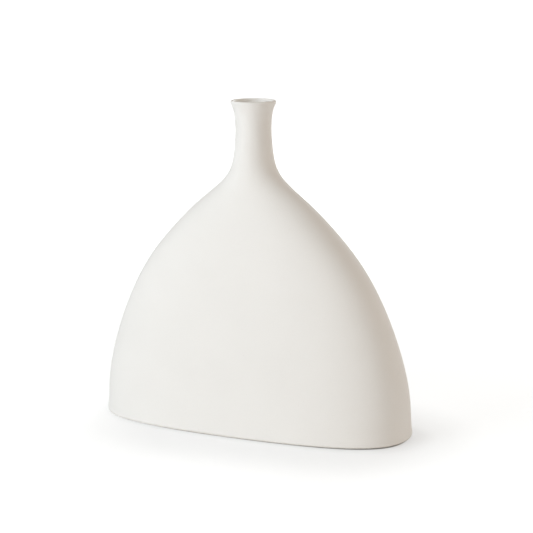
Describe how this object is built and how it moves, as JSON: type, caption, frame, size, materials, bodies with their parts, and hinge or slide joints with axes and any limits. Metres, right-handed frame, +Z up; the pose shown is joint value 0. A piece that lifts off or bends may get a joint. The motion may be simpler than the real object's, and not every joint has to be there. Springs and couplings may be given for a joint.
{
  "type": "pillow vase",
  "caption": "Flat pillow vase with an ogive outline, a narrow round neck with a flared lip, and clear bumpers under its foot.",
  "frame": {"origin": "on the surface that the vase stands on, under the middle of the neck", "axes": "+X along the length, +Y through the thickness towards the back, +Z up; the picture looks at the -Y face"},
  "size_m": [0.3032, 0.1188, 0.3],
  "materials": {
    "ceramic": "smooth matte off-white stoneware, bare at the foot",
    "bumper": "soft clear elastomer, satin"
  },
  "bodies": {
    "root": {"ceramic_body": "ceramic", "foot_bumper_front_left": "bumper", "foot_bumper_front_right": "bumper", "foot_bumper_back_left": "bumper", "foot_bumper_back_right": "bumper"}
  },
  "joints": []
}
